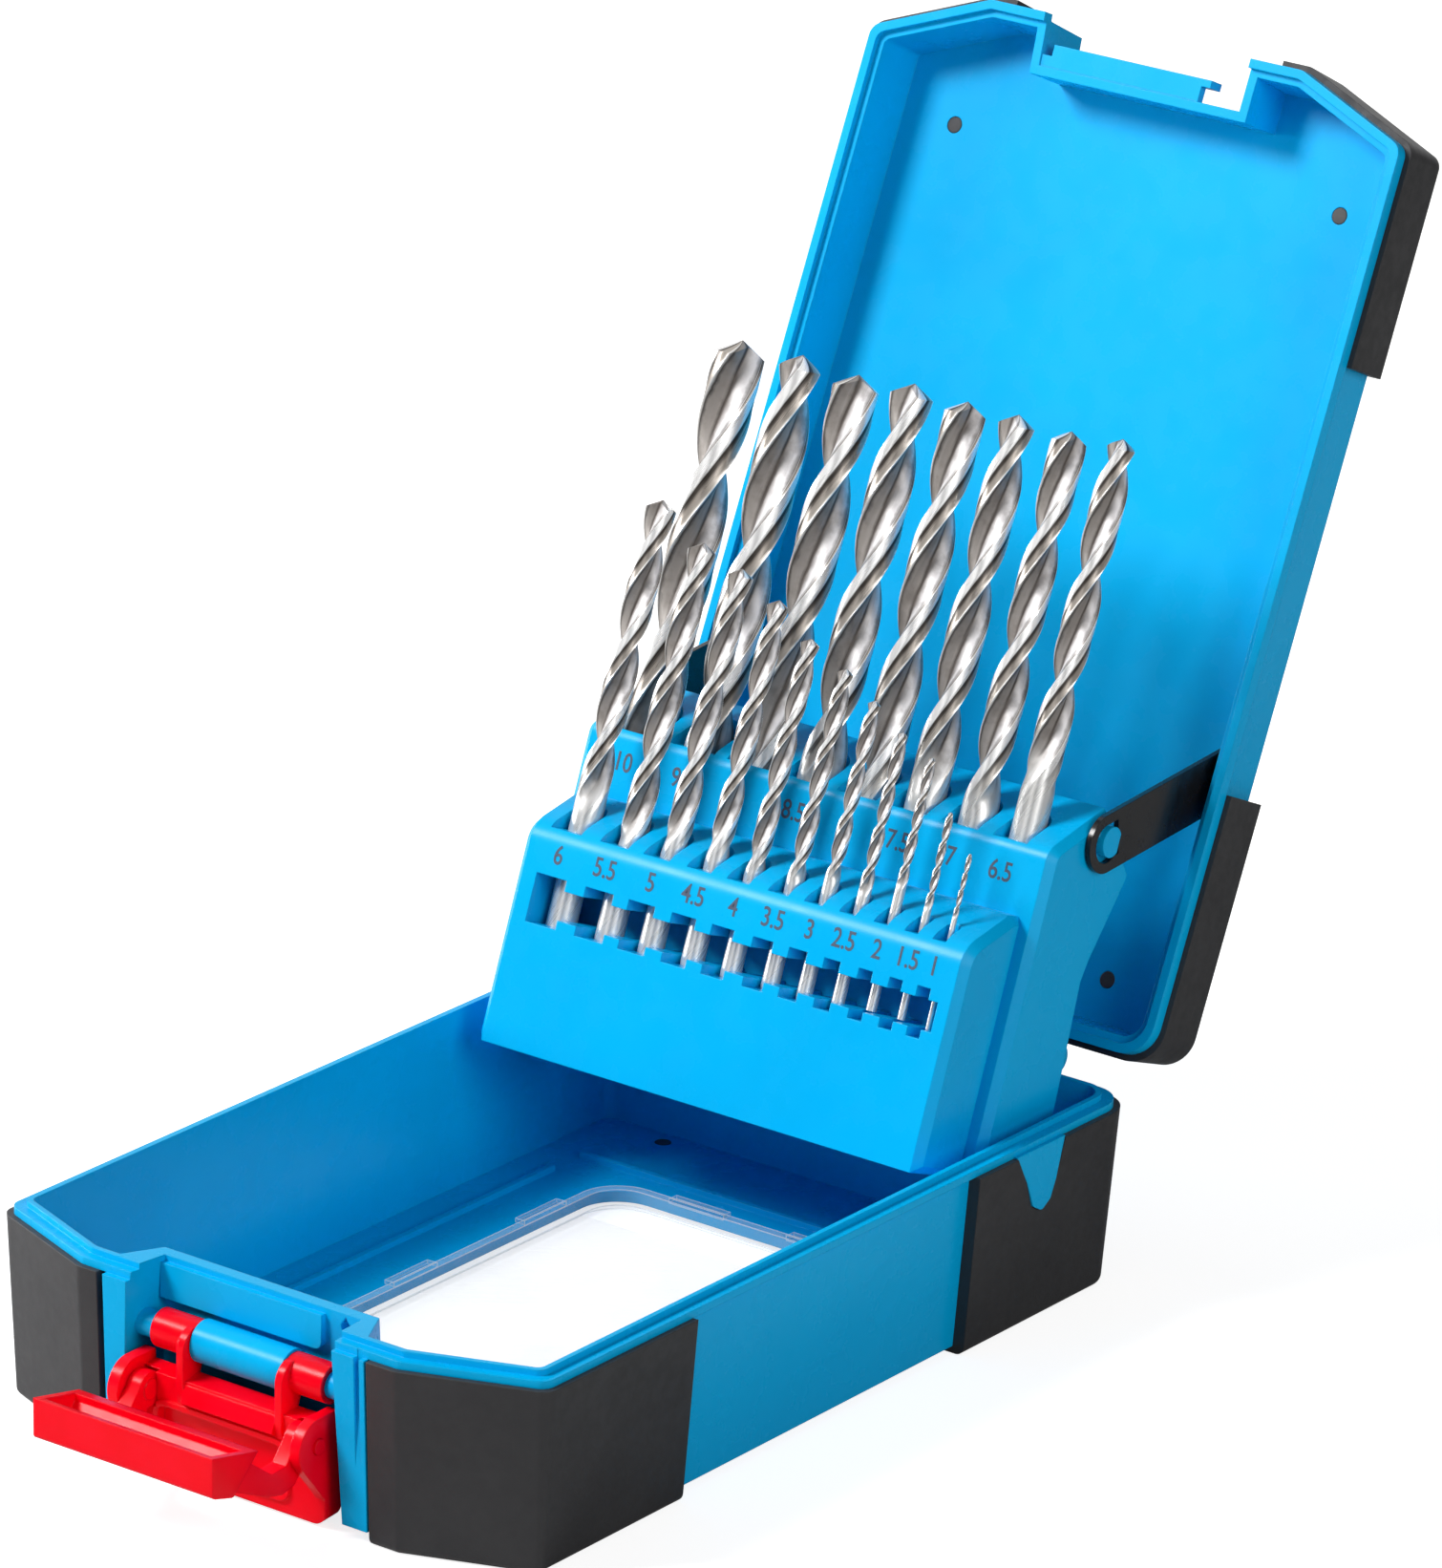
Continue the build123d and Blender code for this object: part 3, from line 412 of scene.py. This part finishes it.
def smoothCopy(node):
    # a welded copy of a solid's mesh, smooth over its curves and sharp at its corners
    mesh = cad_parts[node].data.copy()
    weldMesh(mesh, caseMesh["weldGap"])
    for name in ("custom_normal", "sharp_face", "sharp_edge"):
        if name in mesh.attributes:
            mesh.attributes.remove(mesh.attributes[name])
    smoothMesh(mesh, caseMesh["creaseAngle"])
    return mesh


for node, (name, material, body, slot) in dressing.items():
    meshPiece(name, smoothCopy(node), material, body, slot, node)
print("case pieces dressed:", len(dressing))

# The rack's own directions: across (x), backwards (v) and along the bits (u), in millimetres;
# the rows hold x, v, seat height, length and flute length for each bit
rackSetup = {
    "origin": (0.0, 0.039990, 0.035800), "tilt": 19.9,
    "frontRow": {
        "6": (-43.4, 6.9, 15.6, 93.0, 57.0), "5.5": (-31.9, 6.8, 9.7, 93.0, 57.0),
        "5": (-21.8, 6.6, 13.9, 86.0, 52.0), "4.5": (-11.8, 6.4, 16.0, 80.0, 47.0),
        "4": (-2.6, 6.2, 15.6, 75.0, 43.0), "3.5": (6.8, 6.0, 16.9, 70.0, 39.0),
        "3": (15.0, 5.6, 21.6, 61.0, 33.0), "2.5": (22.9, 5.3, 21.3, 57.0, 30.0),
        "2": (30.6, 5.1, 26.2, 49.0, 24.0), "1.5": (37.6, 4.9, 26.3, 40.0, 18.0),
        "1": (44.0, 4.7, 25.9, 34.0, 12.0),
    },
    "rearRow": {
        "10": (-44.5, 22.2, 8.5, 133.0, 87.0), "9.5": (-30.2, 22.2, 16.6, 125.0, 81.0),
        "9": (-16.7, 22.2, 15.6, 125.0, 81.0), "8.5": (-3.9, 22.2, 24.6, 117.0, 75.0),
        "8": (8.7, 22.2, 23.8, 117.0, 75.0), "7.5": (20.5, 22.2, 31.8, 109.0, 69.0),
        "7": (32.7, 22.2, 31.2, 109.0, 69.0), "6.5": (44.2, 22.2, 40.2, 101.0, 63.0),
    },
    "frontLabelX": {
        "6": -43.0, "5.5": -31.9, "5": -21.0, "4.5": -10.9, "4": -1.5, "3.5": 7.8,
        "3": 16.3, "2.5": 24.3, "2": 31.9, "1.5": 38.9, "1": 45.0,
    },
}
tilt = math.radians(rackSetup["tilt"])
rackMatrix = Matrix((
    (1.0, 0.0, 0.0, 0.0),
    (0.0, math.cos(tilt), math.sin(tilt), rackSetup["origin"][1]),
    (0.0, -math.sin(tilt), math.cos(tilt), rackSetup["origin"][2]),
    (0.0, 0.0, 0.0, 1.0),
))

# Twist bits; a crossing is how far below the tip a land first faces front, in half pitches
bitShape = {
    "columns": 72, "rows": 150, "landShare": 0.36, "marginShare": 0.15, "marginDepth": 0.03,
    "fluteDepth": 0.66, "flutePower": 2.1, "pointSlope": 0.60, "pointShare": 0.04,
    "footShare": 0.01, "runOut": 0.9, "pitchPerDiameter": 6.5, "frontTurn": -1.508,
    "crossing": {
        "10": 0.77, "9.5": 0.23, "9": 0.62, "8.5": 0.35,
        "8": 0.77, "7.5": 0.28, "7": 0.85, "6.5": 0.20,
    },
    "crossingPerDiameter": 0.07, "streakStretch": 0.06,
    "treeGap": 0.000004, "weldGap": 4e-6, "creaseAngle": 38,
}


def readOff(tree, modifier, name, value):
    # sets a modifier input through its socket's identifier
    for item in tree.interface.items_tree:
        if item.item_type == "SOCKET" and item.in_out == "INPUT" and item.name == name:
            modifier[item.identifier] = value


def twistTree():
    # a twist bit as one wrapped grid: across it the section, along it the length
    tree = bpy.data.node_groups.new("twistBit", "GeometryNodeTree")
    names = ("Diameter", "Length", "Flute Length", "Pitch", "Phase")
    for name in names:
        tree.interface.new_socket(name, in_out="INPUT", socket_type="NodeSocketFloat")
    tree.interface.new_socket("Material", in_out="INPUT", socket_type="NodeSocketMaterial")
    tree.interface.new_socket("Geometry", in_out="OUTPUT", socket_type="NodeSocketGeometry")
    graph = Graph(tree)
    given = (graph.make("NodeGroupInput", out=name) for name in (*names, "Material"))
    diameter, length, fluteLength, pitch, phase, material = given
    grid = graph.make("GeometryNodeMeshGrid", {}, {
        "Size X": 1.0, "Size Y": 1.0,
        "Vertices X": bitShape["columns"] + 1, "Vertices Y": bitShape["rows"],
    })
    place = graph.make("GeometryNodeInputPosition")
    around = graph.make("ShaderNodeSeparateXYZ", {}, [place], out="X") + 0.5
    along = graph.make("ShaderNodeSeparateXYZ", {}, [place], out="Y") + 0.5
    radius = diameter * 0.5
    # half a turn of section: land then flute, twice round
    turn = (around * 2.0).op("FRACT")
    landShare = bitShape["landShare"]
    swing = (turn - landShare) / (1.0 - landShare) * 2.0 - 1.0
    hollow = (1.0 - swing.op("ABSOLUTE") ** bitShape["flutePower"]).op("MAXIMUM", 0.0)
    hollow = hollow * (turn > landShare)
    margin = (turn > bitShape["marginShare"]) * (turn < landShare) * bitShape["marginDepth"]
    section = hollow * bitShape["fluteDepth"] + margin
    # rows: foot, shank and body, then the point
    pointShare, footShare = bitShape["pointShare"], bitShape["footShare"]
    bodyShare = (along - footShare) / (1.0 - pointShare - footShare)
    bodyShare = bodyShare.op("MINIMUM", 1.0).op("MAXIMUM", 0.0)
    closing = ((1.0 - along) / pointShare).op("MINIMUM", 1.0) * (along / footShare).op("MINIMUM", 1.0)
    topHeight = length - radius * (1.0 - section) * bitShape["pointSlope"]
    bodyHeight = bodyShare * topHeight
    shank = length - fluteLength
    runOut = diameter * bitShape["runOut"]
    twisted = graph.ease(bodyHeight, shank - runOut, shank + runOut)
    edge = radius * (1.0 - section * twisted) * closing
    isPoint = along > (1.0 - pointShare)
    height = bodyHeight * (1.0 - isPoint) + (length - edge * bitShape["pointSlope"]) * isPoint
    angle = around * (2.0 * math.pi) + (height - length) / pitch * (2.0 * math.pi) + phase
    rolledPlace = graph.make(
        "ShaderNodeCombineXYZ", {}, [angle.op("COSINE") * edge, angle.op("SINE") * edge, height]
    )
    # the marks are read off the flat grid, so they are stored before it is rolled up
    marked = graph.store(grid, "fluteDepth", section * twisted)
    marked = graph.store(marked, "turn", turn)
    marked = graph.store(marked, "twisted", twisted)
    streakPlace = graph.make("ShaderNodeCombineXYZ", {}, [
        around * math.pi * diameter, height * bitShape["streakStretch"], diameter,
    ])
    marked = graph.store(marked, "streak", streakPlace, "FLOAT_VECTOR")
    rolled = graph.make("GeometryNodeSetPosition", {}, {"Geometry": marked, "Position": rolledPlace})
    welded = graph.make(
        "GeometryNodeMergeByDistance", {}, {"Geometry": rolled, "Distance": bitShape["treeGap"]}
    )
    real = graph.make("GeometryNodeRealizeInstances", {}, {"Geometry": welded})
    coated = graph.make("GeometryNodeSetMaterial", {}, {"Geometry": real, "Material": material})
    graph.make("NodeGroupOutput", {}, [coated])
    return tree


def bitPiece(tree, label, spot):
    x, v, seat, length, fluteLength = spot
    diameter = float(label)
    crossing = bitShape["crossing"].get(label, bitShape["crossingPerDiameter"] * diameter)
    host = placed("bitHost", bpy.data.meshes.new("bitHost"))
    modifier = host.modifiers.new("twist", "NODES")
    modifier.node_group = tree
    readOff(tree, modifier, "Diameter", diameter / 1000)
    readOff(tree, modifier, "Length", length / 1000)
    readOff(tree, modifier, "Flute Length", fluteLength / 1000)
    readOff(tree, modifier, "Pitch", diameter * bitShape["pitchPerDiameter"] / 1000)
    readOff(tree, modifier, "Phase", math.pi * crossing + bitShape["frontTurn"])
    readOff(tree, modifier, "Material", finishes["groundSteel"])
    mesh = bakedMesh(host)
    mesh.transform(rackMatrix @ Matrix.Translation((x / 1000, v / 1000, seat / 1000)))
    weldMesh(mesh, bitShape["weldGap"], turnOut=True)
    smoothMesh(mesh, bitShape["creaseAngle"])
    size = label.replace(".", "_")
    node = f"bit_{size}mm"
    meshPiece(f"twistBit{size}", mesh, "groundSteel", f"{node}_body", "drill_steel", node)


bitTree = twistTree()
for row in ("frontRow", "rearRow"):
    for label, spot in rackSetup[row].items():
        bitPiece(bitTree, label, spot)
print("bits turned:", len(rackSetup["frontRow"]) + len(rackSetup["rearRow"]))

# Size figures printed on the racks
figureStyle = {
    "size": 5.3, "narrow": 0.84, "rise": 0.05, "weight": 0.04,
    "frontV": 0.0, "frontHeight": 38.1, "rearV": 16.0, "rearHeight": 57.4,
}


def figurePiece(label, x, v, u):
    curve = bpy.data.curves.new("figure", "FONT")
    curve.body = label
    curve.size = figureStyle["size"] / 1000
    curve.align_x = "CENTER"
    curve.align_y = "CENTER"
    curve.extrude = figureStyle["rise"] / 1000
    curve.offset = figureStyle["weight"] / 1000
    mesh = bakedMesh(placed("figure", curve))
    stand = Matrix((
        (figureStyle["narrow"], 0.0, 0.0, x / 1000),
        (0.0, 0.0, -1.0, v / 1000),
        (0.0, 1.0, 0.0, u / 1000),
        (0.0, 0.0, 0.0, 1.0),
    ))
    mesh.transform(rackMatrix @ stand)
    meshPiece("figure" + label.replace(".", "_"), mesh, "printedInk", "rack", "blue_plastic")


for label, x in rackSetup["frontLabelX"].items():
    figurePiece(label, x, figureStyle["frontV"], figureStyle["frontHeight"])
for label, spot in rackSetup["rearRow"].items():
    figurePiece(label, spot[0], figureStyle["rearV"], figureStyle["rearHeight"])
print("figures printed")

# Floor, backdrop, lamps and the black cards that only reflections see
stageSetup = {
    "floorColour": (0.62, 0.62, 0.62), "floorRoughness": 0.9, "floorReach": 6.0, "floorGlow": 0.80,
    "worldColour": (1.0, 1.0, 1.0), "worldStrength": 0.10, "lampAim": (0.0, 0.02, 0.09),
    "lamps": {
        "keyLamp": {"place": (-1.10, -1.20, 1.62), "size": 0.70, "power": 53.0},
        "fillLamp": {"place": (1.6, -0.5, 0.8), "size": 0.9, "power": 12.5},
        "cornerLamp": {"place": (-1.05, -0.24, 0.15), "size": 0.45, "power": 8.0},
    },
    "flags": {"leftFlag": (-58.0, -14.0), "rightFlag": (12.0, 34.0), "sideFlag": (66.0, 168.0)},
    "flagDistance": 2.4, "flagLow": 0.02, "flagHigh": 2.6, "flagSteps": 8,
}


def stagePiece(name, corners, faces, material):
    mesh = bpy.data.meshes.new(name)
    mesh.from_pydata(corners, [], faces)
    mesh.materials.append(material)
    return placed(name, mesh)


def buildFloor():
    reach = stageSetup["floorReach"]
    corners = [(-reach, -reach, 0), (reach, -reach, 0), (reach, reach, 0), (-reach, reach, 0)]
    material, graph = newMaterial("floorPaper")
    glow = graph.make("ShaderNodeLightPath", out="Is Camera Ray") * stageSetup["floorGlow"]
    closeMaterial(graph, {
        "Base Color": rgba(stageSetup["floorColour"]), "Roughness": stageSetup["floorRoughness"],
        "Emission Color": glow, "Emission Strength": 1.0,
    })
    stagePiece("floor", corners, [(0, 1, 2, 3)], material)


def buildFlag(name, low, high, material):
    # bent round the set between two bearings
    distance, steps = stageSetup["flagDistance"], stageSetup["flagSteps"]
    corners, faces = [], []
    for k in range(steps + 1):
        angle = math.radians(low + (high - low) * k / steps)
        x, y = math.sin(angle) * distance, -math.cos(angle) * distance
        corners += [(x, y, stageSetup["flagLow"]), (x, y, stageSetup["flagHigh"])]
        if k:
            faces.append((2 * k - 2, 2 * k, 2 * k + 1, 2 * k - 1))
    flag = stagePiece(name, corners, faces, material)
    flag.visible_camera = False
    flag.visible_diffuse = False
    flag.visible_shadow = False
    flag.visible_transmission = False


def buildWorld():
    world = bpy.data.worlds.new("studio")
    bpy.context.scene.world = world
    world.use_nodes = True
    world.node_tree.nodes.clear()
    graph = Graph(world.node_tree)
    seen = graph.make("ShaderNodeLightPath", out="Is Camera Ray")
    seen = seen.op("MAXIMUM", graph.make("ShaderNodeLightPath", out="Is Glossy Ray"))
    seen = seen.op("MAXIMUM", graph.make("ShaderNodeLightPath", out="Is Transmission Ray"))
    strength = seen * (1.0 - stageSetup["worldStrength"]) + stageSetup["worldStrength"]
    inputs = {"Color": rgba(stageSetup["worldColour"]), "Strength": strength}
    graph.make("ShaderNodeOutputWorld", {}, {"Surface": graph.make("ShaderNodeBackground", {}, inputs)})


def buildLamp(name, place, size, power):
    data = bpy.data.lights.new(name, "AREA")
    data.size = size
    data.energy = power
    light = placed(name, data)
    light.location = place
    aim = Vector(stageSetup["lampAim"]) - light.location
    light.rotation_mode = "QUATERNION"
    light.rotation_quaternion = aim.to_track_quat("-Z", "Y")


# The camera; focal length and centre are in points of a frame 1642 high
cameraSetup = {
    "place": (1.0192, -1.3555, 0.7318), "yaw": 35.97, "pitch": 20.04, "roll": 2.01,
    "focalPixels": 10346.0, "offCentre": (10.7, -4.9), "longSide": 1642.0, "sensor": 36.0,
    "nearest": 0.05, "farthest": 50.0,
}


def buildCamera():
    yaw, pitch, roll = (math.radians(cameraSetup[key]) for key in ("yaw", "pitch", "roll"))
    flat = math.cos(pitch)
    forward = Vector((-math.sin(yaw) * flat, math.cos(yaw) * flat, -math.sin(pitch)))
    level = Vector((math.cos(yaw), math.sin(yaw), 0.0))
    upright = level.cross(forward)
    across = level * math.cos(roll) + upright * math.sin(roll)
    rise = upright * math.cos(roll) - level * math.sin(roll)
    data = bpy.data.cameras.new("camera")
    camera = placed("camera", data)
    columns = Matrix((across, rise, -forward)).transposed()
    camera.matrix_world = Matrix.Translation(cameraSetup["place"]) @ columns.to_4x4()
    data.sensor_width = cameraSetup["sensor"]
    data.lens = cameraSetup["focalPixels"] * cameraSetup["sensor"] / cameraSetup["longSide"]
    data.shift_x = -cameraSetup["offCentre"][0] / cameraSetup["longSide"]
    data.shift_y = cameraSetup["offCentre"][1] / cameraSetup["longSide"]
    data.clip_start, data.clip_end = cameraSetup["nearest"], cameraSetup["farthest"]
    bpy.context.scene.camera = camera


buildFloor()
card, cardGraph = newMaterial("blackCard")
closeMaterial(cardGraph, {"Base Color": rgba((0.0, 0.0, 0.0)), "Roughness": 1.0, "Specular IOR Level": 0.0})
for name, (low, high) in stageSetup["flags"].items():
    buildFlag(name, low, high, card)
buildWorld()
for name, lamp in stageSetup["lamps"].items():
    buildLamp(name, **lamp)
buildCamera()
bpy.context.scene.view_settings.view_transform = "Standard"
print("stage and camera set")
